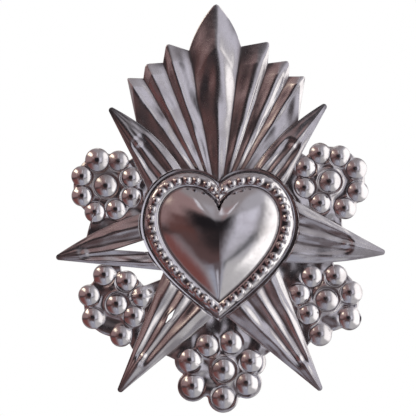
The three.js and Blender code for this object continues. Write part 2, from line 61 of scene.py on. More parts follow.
MM = 0.001
ORNAMENT = "ornament"
HANGER = "hanger"
AXIS = frame["record"]["behaviour"]["joints"][0]["pos_m"]  # the hinge of the ring
WELD = 1e-6  # points nearer than this are merged
FULL_TURN = 2 * math.pi
SHEET_CREASE = math.radians(80)  # a pressed sheet shows a sharper bend than this as an edge
CUT_CREASE = math.radians(40)  # likewise for wire, strap and plate
CUT_EDGE = math.radians(50)  # a sharper bend than this is a cut edge, which gets rounded

# Rays: name, bearing of the tip, length beyond the skirt, bearings of the two edges at the skirt, share
# of the length at which the plain tip forks, and how far each edge bows outwards. Bearings are in
# degrees, anticlockwise from the viewer's right.
RAYS = (
    ("ray_upper_right", 51.8, 32.6 * MM, 40, 64, 0.5, (0, 2 * MM)),
    ("ray_upper_left", 129.6, 32 * MM, 118, 145, 0.42, (2.4 * MM, 0)),
    ("ray_left", 186.1, 33.4 * MM, 161, 208, 0.22, (1.4 * MM, 0)),
    ("ray_lower_left", 236.6, 43.6 * MM, 210, 266, 0.26, (0, 0)),
    ("ray_lower_right", 304.2, 43.6 * MM, 275, 335, 0.22, (0, 0)),
    ("ray_right", 355.8, 34 * MM, 341, 389, 0.34, (1.4 * MM, 0)),
)

# Slits in the middle ridge: width, and shares of the length at which it starts and is widest.
SLITS = {
    "ray_left": (4.4 * MM, 0.65, 1),
    "ray_lower_left": (1.5 * MM, 0.7, 0.77),
}

# Flame: lean from upright, in degrees to the right, and reach from the dome's cleft, which all folds run
# towards, for the ridges and the notches between them in turn, from left to right.
FLAME_FOLDS = (
    (-35.3, 59.2 * MM), (-30, 55.6 * MM),
    (-26.8, 59.9 * MM), (-20.9, 57.7 * MM),
    (-17.6, 64 * MM), (-10.7, 59.4 * MM),
    (-0.8, 75.9 * MM), (7.7, 60.4 * MM),
    (16.8, 64.5 * MM), (18.5, 56.6 * MM),
    (25.3, 60.5 * MM), (27.7, 55.2 * MM),
    (33.3, 58.5 * MM),
)

FLOWERS = (
    "flower_upper_left",
    "flower_lower_left",
    "flower_bottom",
    "flower_lower_right",
    "flower_upper_right",
)


def length(name, description, size):
    """A size in metres that the sidebar shows as a length."""
    return FloatProperty(name=name, description=description, default=size, unit="LENGTH", precision=5)


def share(name, description, size):
    """A plain ratio."""
    return FloatProperty(name=name, description=description, default=size)


def colour(name, description, rgb):
    """A colour in linear light."""
    return FloatVectorProperty(
        name=name, description=description, default=rgb, subtype="COLOR", size=3, min=0, soft_max=1
    )


class HeartSizes(bpy.types.PropertyGroup):
    """Sizes of the puffed heart and its beaded border."""

    dome_width: length("Dome width", "Across the dome at its widest place", 43.6 * MM)
    side_z: length("Side height", "Height of the dome's widest place", 8 * MM)
    lobe_x: length("Lobe offset", "From the middle to the top of a lobe", 11.4 * MM)
    lobe_z: length("Lobe height", "Height of the dome's two lobes", 19.1 * MM)
    cleft_z: length("Cleft height", "Height of the dome's cleft", 11.2 * MM)
    tip_z: length("Tip height", "Height of the dome's lower tip", -22.6 * MM)
    border: length("Border", "From the dome's edge out to the foot of the skirt", 7 * MM)
    cleft_rise: length("Cleft rise", "From the dome's cleft up to the skirt's", 9.4 * MM)
    side_drop: length("Side drop", "From the dome's widest place down to the skirt's", 2 * MM)
    flange: length("Flange", "Width of the flange outside the moulding", 1.1 * MM)
    flange_rise: length("Flange rise", "The flange's outer edge above its foot", 0.36 * MM)
    groove: length("Dome groove", "From the dome's edge out to the moulding", 0.4 * MM)
    foot: length("Foot depth", "Depth of the moulding's outer foot", 2.6 * MM)
    groove_rise: length("Groove rise", "From the moulding's foot to the groove round the dome", 1.6 * MM)
    moulding_rise: length("Moulding rise", "The moulding above the groove", 1 * MM)
    bead_rise: length("Bead rise", "The beads above the moulding", 0.8 * MM)
    bead_width: length("Bead width", "Width of a bead across the moulding", 3 * MM)
    bead_length: length("Bead length", "Length of a bead along the moulding", 2.6 * MM)
    dome_step: length("Dome step", "The dome's edge above the groove", 0.4 * MM)
    dome_rise: length("Dome rise", "The dome's crown above the groove", 7 * MM)
    crown_z: length("Crown height", "Height of the dome's crown", 4 * MM)
    bridge_dip: length("Bridge dip", "How far the dome dips between its lobes", 2 * MM)
    cleft_fall: length("Cleft fall", "Width in which the dome falls into the cleft", 0.5 * MM)
    beads: IntProperty(name="Beads", description="Beads on the border", default=44)


class FoldSizes(bpy.types.PropertyGroup):
    """Sizes of the folded rays, the flame and the flowers."""

    sheet: length("Sheet", "Thickness of every pressed sheet", 0.4 * MM)
    ray_front: length("Ray depth", "Depth of the rays' front faces", 1.9 * MM)
    ray_tip: length("Ray tip", "Width of a ray's blunt tip", 2.2 * MM)
    ray_slope: share("Ray slope", "Rise of a ray's outer faces over their width", math.tan(math.radians(27)))
    ridge_across: share("Ridge place", "Outer ridge, as a share of the way across", 0.18)
    valley_across: share("Valley place", "Valley, as a share of the way across", 0.36)
    valley_rise: share("Valley rise", "Valley's height as a share of the ridge's", 0.15)
    tip_rise: share("Tip rise", "Height of the plain tip as a share of the ridge's", 2.3)
    waves: share("Waves", "Unevenness of the folded faces as a share of a ridge's height", 0.12)
    fork_length: share("Fork length", "Share of the length in which the tip turns into the folds", 0.1)
    knob_rise: length("Knob rise", "The rounded end of the folds at a ray's fork, above the ridge", 0.6 * MM)
    knob_size: length("Knob size", "From that knob's middle out to where it fades", 1.1 * MM)
    ray_end: length("Ray end", "Length in which the folds close down at the skirt", 0.5 * MM)
    tab: length("Tab", "Length of the flat tabs under the heart", 6.2 * MM)
    flower_front: length("Flower depth", "Depth of the flowers' and the flame's front faces", 1.2 * MM)
    dome_bulge: share("Dome bulge", "Height of a flower's dome as a share of its radius", 0.55)
    dome_spread: share("Dome spread", "How far a dome's soft foot runs out, as a share of its radius", 1.08)
    flower_rim: length("Flower rim", "Width of the flowers' margin that curls back", 1.3 * MM)
    rim_drop: length("Rim drop", "How far the flowers' margin curls back", 0.45 * MM)
    web_rise: length("Web rise", "The metal between two domes above the flat sheet", 1 * MM)
    spear_rise: length("Spear rise", "The flame's middle ridge above the valleys", 3.4 * MM)
    spear_bulge: length("Spear bulge", "How far the spear's sides curve out", 1.2 * MM)
    pleat_rise: length("Pleat rise", "The flame's other ridges above the valleys", 2 * MM)
    crease_shift: share("Crease shift", "How far right-hand creases lie before their tips", 0.3)
    ridge_tip: share("Ridge tip", "Share of its rise that a ridge keeps at its tip", 0.4)
    flame_root: length("Flame root", "Length in which the pleats close down under the heart", 2 * MM)
    flame_hem: length("Flame hem", "Length of the next ray's edge that the flame runs under", 23.5 * MM)
    blunt: length("Blunt tip", "Half of the cut edge that is worn round at a tip of the flame", 1.4 * MM)
    lap: length("Lap", "How far the flame runs under the edge of a ray", 0.7 * MM)


class Finishes(bpy.types.PropertyGroup):
    """Colours of the metals in linear light."""

    tin: colour("Tin", "Polished tin", (0.8, 0.78, 0.79))
    # The dark end of the tin's blend: tarnish, and also painted shade in the creases, valleys, gaps and under
    # the heart.
    tarnish: colour("Tarnish", "Tarnish in the hollows of the tin", (0.2, 0.15, 0.14))
    dull_tin: colour("Dull tin", "Back plate and strap", (0.5, 0.47, 0.46))
    solder: colour("Solder", "Drops of solder", (0.42, 0.42, 0.45))
    wire: colour("Wire", "Wire of the hanger", (0.45, 0.41, 0.36))


class HangerSizes(bpy.types.PropertyGroup):
    """Sizes of the wire ring and the strap that holds it."""

    wire: length("Wire", "Thickness of the ring's wire", 1.2 * MM)
    ring_width: length("Ring width", "Between the middles of the ring's two sides", 11 * MM)
    ring_height: length("Ring height", "From the axis to the middle of the bow", 13 * MM)
    ring_corner: length("Ring corner", "Radius of the ring's two upper corners", 1.8 * MM)
    ring_gap: length("Ring gap", "Between the two ends of the wire", 0.4 * MM)
    axis_y: length("Axis depth", "From the plate's rear face back to the axis", AXIS[1])
    axis_z: length("Axis height", "Height of the axis", AXIS[2])
    play: length("Play", "Clearance round the wire in the strap", 0.25 * MM)
    strap_width: length("Strap width", "Width of the strap", 5 * MM)
    strap_foot: length("Strap foot", "Length of the foot above the knuckle", 5 * MM)
    strap_lip: length("Strap lip", "Length of the lip below the knuckle", 1.2 * MM)
    edge: length("Edge", "Rounding of the cut edges", 0.1 * MM)


class StageSettings(bpy.types.PropertyGroup):
    """Camera and light."""

    camera_x: length("Camera across", "Place of the camera to the viewer's right", -4.04 * MM)
    camera_z: length("Camera height", "Height of the camera", 11.76 * MM)
    distance: length("Camera distance", "From the camera to the back plate", 1.2)
    view_width: length("View width", "Width of the picture at the back plate", 152.9 * MM)
    surround: length("Surround", "Radius of the light tent", 0.5)
    floor_z: length("Floor height", "Height of the floor", -0.6)
    floor_size: length("Floor size", "Side of the floor", 30)


def mix(low, high, amount):
    return low + (high - low) * amount


def clamp(value, low=0.0, high=1.0):
    return min(max(value, low), high)


def smooth(low, high, value):
    step = clamp((value - low) / (high - low))
    return step * step * (3 - 2 * step)


def polar(bearing, distance):
    turn = math.radians(bearing)
    return Vector((math.cos(turn), math.sin(turn))) * distance


def front(place, depth):
    """A point that lies some depth in front of the back plate's rear face."""
    return Vector((place[0], -depth, place[1]))


def cubic(start, handle, second, end, count):
    """Points along a curve with two handles, without its start."""
    points = []
    for i in range(1, count + 1):
        t = i / count
        s = 1 - t
        points.append(start * s ** 3 + handle * (3 * s * s * t) + second * (3 * s * t * t) + end * t ** 3)
    return points


def spaced(points, count):
    """The same line with a number of equal steps."""
    lengths = [0.0]
    for first, second in zip(points, points[1:]):
        lengths.append(lengths[-1] + (second - first).length)
    places = []
    for i in range(count + 1):
        wanted = lengths[-1] * i / count
        j = clamp(bisect.bisect_right(lengths, wanted) - 1, 0, len(points) - 2)
        step = lengths[j + 1] - lengths[j]
        places.append(points[j].lerp(points[j + 1], clamp((wanted - lengths[j]) / step)))
    return places


def heart_outline(grow, count):
    """The heart's outline, grown outwards from the dome's edge, from the cleft round by the right."""
    sizes = bpy.context.scene.heart_sizes
    part = grow / sizes.border
    side = sizes.dome_width / 2 + grow
    side_z = sizes.side_z - part * sizes.side_drop
    top = sizes.lobe_z + grow
    cleft = sizes.cleft_z + part * sizes.cleft_rise
    tip = sizes.tip_z - grow
    lobe = sizes.lobe_x
    start = Vector((0, cleft))
    above_cleft = Vector((lobe * 0.12, mix(cleft, top, 0.62)))
    before_crest = Vector((lobe * 0.5, top))
    crest = Vector((lobe, top))
    after_crest = Vector((mix(lobe, side, 0.58), top))
    above_side = Vector((side, mix(side_z, top, 0.55)))
    widest = Vector((side, side_z))
    below_side = Vector((side, mix(side_z, tip, 0.42)))
    above_tip = Vector((side * 0.3, mix(side_z, tip, 0.8)))
    half = [start]
    half += cubic(start, above_cleft, before_crest, crest, 60)
    half += cubic(crest, after_crest, above_side, widest, 60)
    half += cubic(widest, below_side, above_tip, Vector((0, tip)), 80)
    half = spaced(half, count // 2)
    return half + [Vector((-point.x, point.y)) for point in reversed(half[1:-1])]


def distance_to(outline, origin, direction):
    """How far a closed outline is from an origin inside it, in a direction."""
    parallel = 1e-12
    slack = 1e-9
    for i, point in enumerate(outline):
        edge = outline[(i + 1) % len(outline)] - point
        start = point - origin
        turn = direction.cross(edge)
        if abs(turn) < parallel:
            continue
        along = start.cross(direction) / turn
        distance = start.cross(edge) / turn
        if -slack < along < 1 + slack and distance > 0:
            return distance
    raise RuntimeError("the outline isn't met")


def place_on(outline, bearing):
    """The place on an outline at a bearing from the origin."""
    direction = polar(bearing, 1)
    return direction * distance_to(outline, Vector((0, 0)), direction)


def rounded(profile, value, radius):
    """A folded profile with its folds rounded."""
    steps = (-1, -0.5, 0, 0.5, 1)
    return sum(profile(value + step * radius) for step in steps) / len(steps)


def wavy(across, along, seed):
    """Unevenness of a folded face, from about -1 to 1."""
    return 2 * noise.noise(Vector((across, along, seed)))


def named(name):
    """The active piece, which gets a name."""
    piece = bpy.context.object
    piece.name = name
    piece.data.name = name
    return piece


def pick(piece):
    """Selects one piece alone and makes it active."""
    bpy.ops.object.select_all(action="DESELECT")
    piece.select_set(True)
    bpy.context.view_layer.objects.active = piece


def copied(original, name):
    """A copy of a piece, which is left selected and active."""
    pick(original)
    bpy.ops.object.duplicate()
    return named(name)


def edit_all(*steps):
    """Runs edit mode's operators in turn on all of the active piece."""
    bpy.ops.object.mode_set(mode="EDIT")
    for operator, settings in steps:
        bpy.ops.mesh.select_all(action="SELECT")
        operator(**settings)
    bpy.ops.object.mode_set(mode="OBJECT")


def flat_grid(name, columns, rows):
    """A square sheet of side 1, in steps."""
    bpy.ops.object.select_all(action="DESELECT")
    bpy.ops.mesh.primitive_grid_add(x_subdivisions=columns, y_subdivisions=rows, size=1)
    return named(name)


def press_sheet(name, columns, rows, die, thickness):
    """Presses a flat grid onto a die, which gives each point its place and its darkening: tarnish, and
    painted shade in hollows and creases.
    """
    piece = flat_grid(name, columns, rows)
    tarnish = piece.data.attributes.new("tarnish", "FLOAT", "POINT")
    for vertex in piece.data.vertices:
        place, dark = die(vertex.co.x + 0.5, vertex.co.y + 0.5)
        vertex.co = place
        tarnish.data[vertex.index].value = dark
    edit_all(
        (bpy.ops.mesh.remove_doubles, {"threshold": WELD}),
        (bpy.ops.mesh.extrude_region_move, {"TRANSFORM_OT_translate": {"value": (0, thickness, 0)}}),
        (bpy.ops.mesh.normals_make_consistent, {"inside": False}),
    )
    bpy.ops.object.shade_smooth_by_angle(angle=SHEET_CREASE)
    return piece


def round_edges(piece, width):
    """Rounds the cut edges of the active piece and turns its faces outwards."""
    edge = piece.modifiers.new("edge", "BEVEL")
    edge.width = width
    edge.segments = 2
    edge.limit_method = "ANGLE"
    edge.angle_limit = CUT_EDGE
    bpy.ops.object.modifier_apply(modifier=edge.name)
    edit_all((bpy.ops.mesh.normals_make_consistent, {"inside": False}))
    bpy.ops.object.shade_smooth_by_angle(angle=CUT_CREASE)


def finish_piece(piece, body, slot, material, *nodes):
    """Gives a piece its metal and hangs it on its body in place of its nodes."""
    piece.data.materials.clear()
    piece.data.materials.append(material)
    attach(piece, body)
    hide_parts(*nodes)


class Sockets:
    """The nodes of one material."""

    def __init__(self, tree):
        self.tree = tree
        self.standard = tree.nodes["Principled BSDF"]

    def node(self, kind, settings=None, **sockets):
        """Adds a node, sets it up and fills its sockets: _ stands for a space, and i0 is the first."""
        node = self.tree.nodes.new(kind)
        for key, value in (settings or {}).items():
            setattr(node, key, value)
        for key, value in sockets.items():
            self.fill(node, key, value)
        return node

    def fill(self, node, key, value):
        words = key.replace("_", " ")
        socket = node.inputs[int(words[1:])] if words[1:].isdigit() else node.inputs[words]
        if isinstance(value, Level):
            value = value.socket
        if isinstance(value, bpy.types.NodeSocket):
            self.tree.links.new(value, socket)
        else:
            socket.default_value = value

    def level(self, node, output=0):
        return Level(self, node.outputs[output])

    def show(self, shader):
        """Puts a shader in place of the standard one."""
        self.tree.nodes.remove(self.standard)
        self.tree.links.new(shader.outputs[0], self.tree.nodes["Material Output"].inputs[0])

    def blend(self, amount, first, second):
        """A colour between two, as a socket."""
        node = self.node(
            "ShaderNodeMix", {"data_type": "RGBA"}, i0=amount, i6=as_colour(first), i7=as_colour(second)
        )
        return node.outputs[2]


def as_colour(value):
    return value if isinstance(value, bpy.types.NodeSocket) else (*value, 1)


class Level:
    """A number that changes over the surface. Arithmetic on it adds Math nodes."""

    def __init__(self, nodes, socket):
        self.nodes = nodes
        self.socket = socket

    def math(self, operation, *values):
        sockets = {f"i{i}": value for i, value in enumerate(values)}
        return self.nodes.level(self.nodes.node("ShaderNodeMath", {"operation": operation}, **sockets))

    def __add__(self, other):
        return self.math("ADD", self, other)

    __radd__ = __add__

    def __sub__(self, other):
        return self.math("SUBTRACT", self, other)

    def __rsub__(self, other):
        return self.math("SUBTRACT", other, self)

    def __mul__(self, other):
        return self.math("MULTIPLY", self, other)

    __rmul__ = __mul__

    def clamped(self):
        return self.math("MINIMUM", self.math("MAXIMUM", self, 0.0), 1.0)

    def between(self, low, high):
        """0 below the low value, 1 above the high one, and smooth between them."""
        node = self.nodes.node(
            "ShaderNodeMapRange",
            {"interpolation_type": "SMOOTHSTEP"},
            Value=self,
            From_Min=low,
            From_Max=high,
        )
        return self.nodes.level(node)


def new_material(name):
    """A material and its nodes."""
    material = bpy.data.materials.new(name)
    material.use_nodes = True
    return material, Sockets(material.node_tree)


def metal(name, bright, dark, roughness, dulling, clouds, waves):
    """A worn sheet or wire: cloudy tarnish, the pressed sheets' tarnish and painted shade in their hollows,
    fine rubbing marks and an uneven face.
    """
    material, nodes = new_material(name)
    place = nodes.node("ShaderNodeTexCoord").outputs["Object"]
    # The pressed sheets' darkening: tarnish, with painted shade in their hollows and creases.
    shade_and_tarnish = nodes.level(nodes.node("ShaderNodeAttribute", {"attribute_name": "tarnish"}), "Fac")

    def grain(per_metre, detail):
        spots = nodes.node("ShaderNodeTexNoise", None, Vector=place, Scale=per_metre, Detail=detail)
        return nodes.level(spots)

    cloud = grain(90.0, 4.0)
    speck = grain(700.0, 3.0)
    swell = grain(110.0, 0.0)
    dent = grain(320.0, 1.0)
    stain = cloud.between(0.45, 0.75) * clouds + speck.between(0.6, 0.8) * clouds * 0.5
    # Stains plus painted shade from the pressing, which darken the colour and dull the finish.
    stained_and_shaded = (stain + shade_and_tarnish).clamped()
    rubbing = 0.06
    height = swell + dent * 0.25 + speck * 0.02
    bump = nodes.node("ShaderNodeBump", None, Strength=1.0, Distance=waves, Height=height)
    nodes.fill(nodes.standard, "Metallic", 1.0)
    nodes.fill(nodes.standard, "Base_Color", nodes.blend(stained_and_shaded, bright, dark))
    nodes.fill(nodes.standard, "Roughness", stained_and_shaded * dulling + speck * rubbing + (roughness - rubbing / 2))
    nodes.fill(nodes.standard, "Normal", bump.outputs[0])
    return material


def finish(kind):
    """The finish of one kind of metal, made when it is first asked for."""
    name = "worn_" + kind
    if name in bpy.data.materials:
        return bpy.data.materials[name]
    colours = bpy.context.scene.finishes
    # Colour, roughness, what tarnish and painted shade add to it, strength of the clouds and height of the
    # waves
    colour_of, *wear = {
        "polished_tin": ("tin", 0.13, 0.2, 0.25, 0.15 * MM),
        "folded_tin": ("tin", 0.23, 0.2, 0.3, 0.3 * MM),
        "domed_tin": ("tin", 0.14, 0.5, 0.25, 0.2 * MM),
        "plain_tin": ("dull_tin", 0.32, 0.2, 0.5, 0.4 * MM),
        "solder": ("solder", 0.36, 0.2, 0.4, 0.6 * MM),
        "wire": ("wire", 0.27, 0.2, 0.4, 0.2 * MM),
    }[kind]
    return metal(name, tuple(getattr(colours, colour_of)), tuple(colours.tarnish), *wear)


class TIN_OT_heart(bpy.types.Operator):
    """Press the puffed heart with its beaded border"""

    bl_idname = "tin.heart"
    bl_label = "Heart"

    columns = 660
    dome_rows = 44
    moulding_rows = 24
    flange_rows = (0.3, 0.65, 1)  # shares of the flange's width
    belly_top = -12 * MM  # the dome is all belly below this height
    cushion_foot = 4 * MM  # and all cushion above this one
    belly_fullness = 1.1
    cushion_foot_width = 0.02  # share of the cushion's height in which its edge flattens
    easing = 0.2  # share of the edge's length over which its sharp turns are eased at the crown
    stray_along = 0.25  # share of the beads' spacing
    stray_aside = 0.3 * MM
    stray_rise = 0.5  # share of a bead's rise
    bead_fullness = 0.6
    seed = 1  # the noise vectors follow the clock unless a seed is set

    def border(self, sizes):
        """Rows from the dome's edge out to the flange: growth, depth and place across the moulding."""
        outer = sizes.border - sizes.flange
        middle = (sizes.groove + outer) / 2
        crest = sizes.foot + sizes.groove_rise + sizes.moulding_rise
        rows = []
        for i in range(self.moulding_rows + 1):
            turn = (i / self.moulding_rows - 0.5) * math.pi
            fall = sizes.moulding_rise if turn < 0 else crest - sizes.foot
            across = math.sin(turn)
            rows.append((mix(middle, outer, across), crest - fall * (1 - math.cos(turn)), across))
        for part in self.flange_rows:
            rows.append((mix(outer, sizes.border, part), sizes.foot + sizes.flange_rise * part, 1))
        return rows

    def beads(self, sizes):
        """The beads' places on the middle of the moulding, its direction there and how they stray."""
        middle = heart_outline((sizes.border - sizes.flange + sizes.groove) / 2, self.columns)
        noise.seed_set(self.seed)
        beads = []
        for number in range(sizes.beads):
            stray = noise.noise_vector(Vector((number * 3.7, 1.3, 0.6)))
            index = round((number + self.stray_along * stray.x) / sizes.beads * self.columns) % self.columns
            along = middle[(index + 1) % self.columns] - middle[index - 1]
            beads.append((middle[index], along.normalized(), stray))
        return beads

    def belly(self, rings, edge):
        """A smooth swelling from 0 at the edge to 1, without a crease from the crown to the tip."""
        step = numpy.linalg.norm(edge[1] - edge[0])
        swelling = []
        for ring in rings:
            away = ring[:, None, :] - edge[None, :, :]
            swelling.append(1 / (1 / ((away ** 2).sum(2) + step ** 2)).sum(1))
        swelling = numpy.array(swelling)
        swelling = (swelling - swelling[-1]) / (swelling.max() - swelling[-1])
        return swelling ** self.belly_fullness

    def cushion(self, rings, edge, sizes):
        """A cushion that takes no notice of the cleft, but for a steep fall close beside it."""
        crown = numpy.array((0, sizes.crown_z))
        in_cleft = (abs(edge[:, 0]) < sizes.lobe_x) & (edge[:, 1] > sizes.crown_z)
        bridge = sizes.lobe_z - sizes.bridge_dip * (1 - (edge[:, 0] / sizes.lobe_x) ** 2) ** 2
        whole = edge.copy()
        whole[in_cleft, 1] = bridge[in_cleft]

        def reach(outline, turns):
            spokes = outline - crown
            angles = numpy.arctan2(spokes[:, 1], spokes[:, 0])
            return numpy.interp(turns, angles, numpy.linalg.norm(spokes, axis=1), period=FULL_TURN)

        tree = kdtree.KDTree(len(edge))
        for i, (x, z) in enumerate(edge):
            tree.insert((x, z, 0), i)
        tree.balance()

        def clear_of_edge(place):
            index = tree.find((*place, 0))[1]
            ways = []
            for i in (index - 1, index):
                ends = Vector(edge[i]), Vector(edge[(i + 1) % self.columns])
                part = geometry.intersect_point_line(Vector(place), *ends)[1]
                ways.append((Vector(place) - ends[0].lerp(ends[1], clamp(part))).length)
            return min(ways)

        foot = self.cushion_foot_width
        swelling = []
        for ring in rings:
            spokes = ring - crown
            turns = numpy.arctan2(spokes[:, 1], spokes[:, 0])
            limit = reach(whole, turns)
            level = numpy.clip(1 - (numpy.linalg.norm(spokes, axis=1) / limit) ** 2, 0, 1)
            cut = numpy.clip(1 - (reach(edge, turns) / limit) ** 2, 0, 1)
            cut = numpy.array([smooth(0, 0.1, value) for value in cut])
            near = numpy.array([clear_of_edge(place) for place in ring])
            fall = (1 - numpy.clip(near / sizes.cleft_fall, 0, 1)) ** 2
            swelling.append(level ** 2 / (level + foot) * (1 + foot) * (1 - cut * fall))
        return numpy.array(swelling)

    def puffed(self, rings, edge, sizes):
        """How far the dome is puffed, from 0 at its edge to 1: a cushion above and a belly below."""
        rings = numpy.array(rings)
        edge = numpy.array(edge)
        above = numpy.vectorize(lambda z: smooth(self.belly_top, self.cushion_foot, z))(rings[:, :, 1])
        return mix(self.belly(rings, edge), self.cushion(rings, edge, sizes), above)

    def execute(self, context):
        sizes = context.scene.heart_sizes
        columns = self.columns
        groove = sizes.foot + sizes.groove_rise
        border = self.border(sizes)
        rings = [heart_outline(grow, columns) for grow, _, _ in border]
        edge = heart_outline(0, columns)
        crown = Vector((0, sizes.crown_z))
        rows = self.dome_rows + len(border)

        def eased(index, window):
            """A place on the dome's edge, drawn in where the edge turns sharply."""
            steps = 8
            drawn = Vector((0, 0))
            for step in range(-steps, steps + 1):
                whole, part = divmod(index + step / steps * window * columns, 1)
                first = edge[int(whole) % columns]
                drawn += first.lerp(edge[int(whole + 1) % columns], part)
            return drawn / (2 * steps + 1)

        shares = [math.sin(row / self.dome_rows * math.pi / 2) for row in range(self.dome_rows + 1)]
        dome_rings = []
        for out in shares:
            window = (1 - out) * self.easing
            dome_rings.append([crown.lerp(eased(i, window), out) for i in range(columns)])
        puffs = self.puffed(dome_rings, edge, sizes)

        def dome(index, row):
            depth = groove + mix(sizes.dome_step, sizes.dome_rise, puffs[row][index])
            # Painted shade: the dome's outermost rows are darkened where it meets the groove.
            return front(dome_rings[row][index], depth), 0.4 * smooth(0.96, 1, shares[row])

        beads = self.beads(sizes)

        def beaded(index, row):
            _, depth, across = border[row]
            place = rings[row][index]
            nearest = round(index / columns * sizes.beads)
            bead = 0
            for number in range(nearest - 2, nearest + 3):
                middle, along, stray = beads[number % sizes.beads]
                away = place - middle
                ahead = 2 * away.dot(along) / sizes.bead_length
                aside = 2 * (away.cross(along) - self.stray_aside * stray.y) / sizes.bead_width
                bead = max(bead, (1 - ahead ** 2 - aside ** 2) * (1 + self.stray_rise * stray.z))
            # Painted shade between the beads and in the groove round the dome; there is no tarnish here.
            shade_between_beads = smooth(0.4, 0, bead) * smooth(0.5, 0.2, abs(across))
            dark = 0.5 * shade_between_beads + 0.3 * smooth(-0.9, -1, across)
            return front(place, depth + sizes.bead_rise * max(0, bead) ** self.bead_fullness), dark

        def die(across, along):
            index = round(across * columns) % columns
            row = round(along * rows)
            border_row = row - self.dome_rows - 1
            return dome(index, row) if border_row < 0 else beaded(index, border_row)

        piece = press_sheet("pressed_heart", columns, rows, die, context.scene.fold_sizes.sheet)
        finish_piece(piece, ORNAMENT, "polished_tin", finish("polished_tin"), "heart_front")
        return {"FINISHED"}


class Ray:
    """Places on one folded ray, across it from 0 to 1 and along it from the tip at 0 to the skirt at 1."""

    tip_rounding = 0.05  # shares of the width over which the tip's fold and the others are rounded
    fold_rounding = 0.03
    waves_across = 9
    waves_along = 5

    def __init__(self, skirt, sizes, name, bearing, reach, low, high, fork, bow):
        self.skirt = skirt
        self.sizes = sizes
        self.low = low
        self.high = high
        self.fork = fork
        self.bow = bow
        self.reach = reach
        self.slit = SLITS.get(name)
        self.seed = bearing
        self.tip = polar(bearing, place_on(skirt, bearing).length + reach)
        self.aside = polar(bearing + 90, 1)
        self.width = (place_on(skirt, low) - place_on(skirt, high)).length
        self.feet = {}

    def line(self, across):
        """Start and foot of a fold line."""
        key = round(across, 5)
        if key not in self.feet:
            self.feet[key] = place_on(self.skirt, mix(self.low, self.high, across))
        half = self.sizes.ray_tip / 2
        aside = 2 * across - 1
        blunt = self.tip - self.tip.normalized() * half * (1 - math.sqrt(max(0, 1 - aside * aside)))
        return blunt + self.aside * aside * half, self.feet[key]

    def bowed(self, across, along):
        return (2 * across - 1) * self.bow[across > 0.5] * 4 * along * (1 - along)

    def under(self, across, distance):
        """A place under one of the edges, at a distance from the skirt, as far in as a sheet laps."""
        start, foot = self.line(across)
        along = 1 - distance / (foot - start).length
        side = 1 if across else -1
        return start.lerp(foot, along) + self.aside * (self.bowed(across, along) - side * self.sizes.lap)

    def opening(self, along):
        """Width of the slit."""
        if not self.slit:
            return 0
        width, start, widest = self.slit
        return width * max(0, 1 - abs(along - widest) / (widest - start))

    def opened(self, across, along, side):
        """How far the slit pushes a place aside, on the half at one side of the middle ridge."""
        middle = smooth(self.sizes.valley_across, 0.5, min(across, 1 - across))
        return side * self.opening(along) / 2 * middle

    def roof(self, across):
        """Height of the plain tip, as a share of the ridge's."""
        return self.sizes.tip_rise * max(0, 1 - abs(1 - 2 * across))

    def folds(self, across):
        """Height of the folds, as a share of the ridge's."""
        sizes = self.sizes
        side = min(across, 1 - across)
        if side < sizes.ridge_across:
            return max(0, side / sizes.ridge_across)
        if side < sizes.valley_across:
            part = (side - sizes.ridge_across) / (sizes.valley_across - sizes.ridge_across)
            return mix(1, sizes.valley_rise, part)
        return mix(sizes.valley_rise, 1, (side - sizes.valley_across) / (0.5 - sizes.valley_across))

    def place(self, across, along, side):
        """Place, height and darkening (tarnish, with painted shade in the valleys) of a point on the half at
        one side of the middle ridge.
        """
        sizes = self.sizes
        start, foot = self.line(across)
        inside = min(across, 1 - across)
        shift = self.bowed(across, along) + self.opened(across, along, side)
        ridge = sizes.ridge_across * self.width * sizes.ray_slope
        forked = smooth(self.fork, self.fork + sizes.fork_length, along)
        plain = rounded(self.roof, across, self.tip_rounding)
        folded = rounded(self.folds, across, self.fold_rounding)
        waves = wavy(across * self.waves_across, along * self.waves_along, self.seed)
        shape = mix(plain, folded, forked) + sizes.waves * waves * smooth(0, 0.1, inside)
        end = clamp((1 - along) * self.reach / sizes.ray_end)
        # Painted shade: darker along the valleys once the folds have formed; the 0.1 is tarnish all over.
        crease = smooth(0.06, 0, abs(inside - sizes.valley_across))
        dark = 0.1 + 0.32 * crease * forked
        ahead = (along - self.fork - sizes.fork_length) * self.reach
        aside = (across - 0.5) * self.width * along
        knob = sizes.knob_rise * math.exp(-(ahead ** 2 + aside ** 2) / sizes.knob_size ** 2)
        return start.lerp(foot, along) + self.aside * shift, ridge * shape * along * end + knob, dark

    def tab(self, across, distance, side):
        """A place on the flat tab under the heart."""
        start, foot = self.line(clamp(across, self.sizes.ridge_across, 1 - self.sizes.ridge_across))
        foot = foot + self.aside * self.opened(across, 1, side)
        return foot + (foot - start).normalized() * distance


def make_rays(context):
    skirt = heart_outline(context.scene.heart_sizes.border, 2 * context.scene.heart_sizes.beads)
    return {name: Ray(skirt, context.scene.fold_sizes, name, *values) for name, *values in RAYS}


